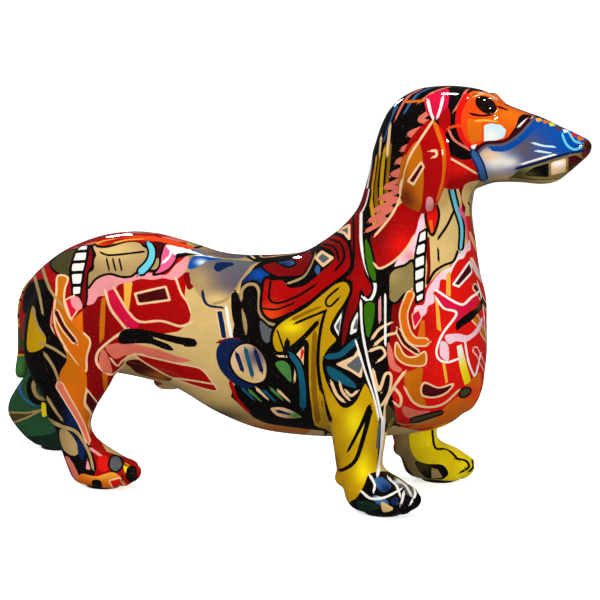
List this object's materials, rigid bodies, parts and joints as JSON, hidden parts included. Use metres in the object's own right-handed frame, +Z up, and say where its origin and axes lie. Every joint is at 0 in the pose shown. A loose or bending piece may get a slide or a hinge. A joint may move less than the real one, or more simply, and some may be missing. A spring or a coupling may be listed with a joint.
{
  "type": "dog figurine",
  "caption": "Standing dachshund figurine of hollow slip-cast glazed ceramic with an all-over abstract street-art pattern, inset glass eyes and felt pads under its paws.",
  "frame": {"origin": "centre of the figurine's box, on the surface it stands on", "axes": "+X towards the nose, +Y towards the dog's left side, +Z up"},
  "size_m": [0.3104, 0.091, 0.1927],
  "materials": {
    "printed_glaze": "all-over printed abstract pattern under a clear, high-gloss coat",
    "eye_glass": "polished opaque black glass cabochon",
    "pad_felt": "pressed black felt"
  },
  "bodies": {
    "root": {"body_casting": "printed_glaze", "head_casting": "printed_glaze", "right_ear": "printed_glaze", "left_ear": "printed_glaze", "right_foreleg": "printed_glaze", "left_foreleg": "printed_glaze", "right_hindleg": "printed_glaze", "left_hindleg": "printed_glaze", "tail": "printed_glaze", "right_eye": "eye_glass", "left_eye": "eye_glass", "right_fore_pad": "pad_felt", "left_fore_pad": "pad_felt", "right_hind_pad": "pad_felt", "left_hind_pad": "pad_felt"}
  },
  "joints": []
}
